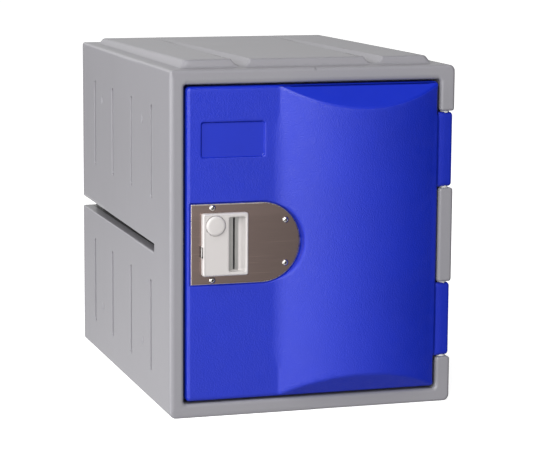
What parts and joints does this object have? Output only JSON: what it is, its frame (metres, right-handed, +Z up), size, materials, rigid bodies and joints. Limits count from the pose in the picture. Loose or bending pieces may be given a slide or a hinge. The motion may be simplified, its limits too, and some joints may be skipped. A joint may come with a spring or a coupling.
{
  "type": "coin operated locker",
  "caption": "Stackable moulded plastic locker compartment with an inset door on side knuckles and a coin deposit lock whose knob throws a bolt.",
  "frame": {"origin": "on the floor, under the middle of the whole outline, the door's bulge included", "axes": "+X towards the hinge side, right as seen from the front; +Y from the door to the back; +Z up"},
  "size_m": [0.385, 0.548, 0.46],
  "materials": {
    "cabinet_grey": "fine orange peel",
    "door_blue": "fine grain",
    "plate_steel": "polished",
    "screw_steel": "polished",
    "housing_light": "satin",
    "case_dark": "satin",
    "chute_grey": "satin",
    "bush_white": "satin",
    "gauge_steel": "satin",
    "bright_steel": "ground",
    "brass": "turned"
  },
  "bodies": {
    "cabinet": {"cabinet_shell": "cabinet_grey", "hinge_rod": "bright_steel", "hinge_rod_plug": "chute_grey", "strike_plate": "bright_steel", "strike_screws": "screw_steel"},
    "door": {"door_shell": "door_blue", "door_liner": "door_blue", "liner_screws": "screw_steel", "hinge_bushes": "bush_white", "lock_plate": "plate_steel", "plate_screws": "screw_steel", "lock_housing": "housing_light", "coin_gauge_plate": "gauge_steel", "lock_case": "case_dark", "lock_case_cover": "case_dark", "case_screws": "screw_steel", "coin_chute": "chute_grey", "lever_pin": "bright_steel", "lever_spring": "bright_steel", "coin_cup": "housing_light", "cup_screws": "screw_steel"},
    "knob": {"turn_knob": "housing_light", "knob_spindle": "bright_steel", "drive_pinion": "brass", "spindle_clip": "gauge_steel"},
    "bolt": {"deadbolt": "bright_steel", "bolt_rack": "bright_steel", "rack_rivets": "bright_steel"},
    "lever": {"coin_lever": "brass"}
  },
  "joints": [
    {"name": "door_hinge", "type": "hinge", "parent": "cabinet", "child": "door", "pos_m": [0.182, -0.2355, 0.225], "axis": [0, 0, 1], "range_deg": [0, 120]},
    {"name": "knob_turn", "type": "hinge", "parent": "door", "child": "knob", "pos_m": [-0.1345, -0.246, 0.2515], "axis": [0, 1, 0], "range_deg": [0, 90]},
    {"name": "bolt_slide", "type": "slide", "parent": "door", "child": "bolt", "axis": [-1, 0, 0], "range_m": [0, 0.01178]},
    {"name": "lever_swing", "type": "hinge", "parent": "door", "child": "lever", "pos_m": [-0.1075, -0.21, 0.255], "axis": [1, 0, 0], "range_deg": [0, 12], "stiffness_Nm_per_rad": 0.02, "springref_deg": -5.73, "deforming": ["lever_spring"]}
  ],
  "couplings": [
    {"joint": "knob_turn", "follows": "bolt_slide", "rad_per_m": 133.33}
  ]
}
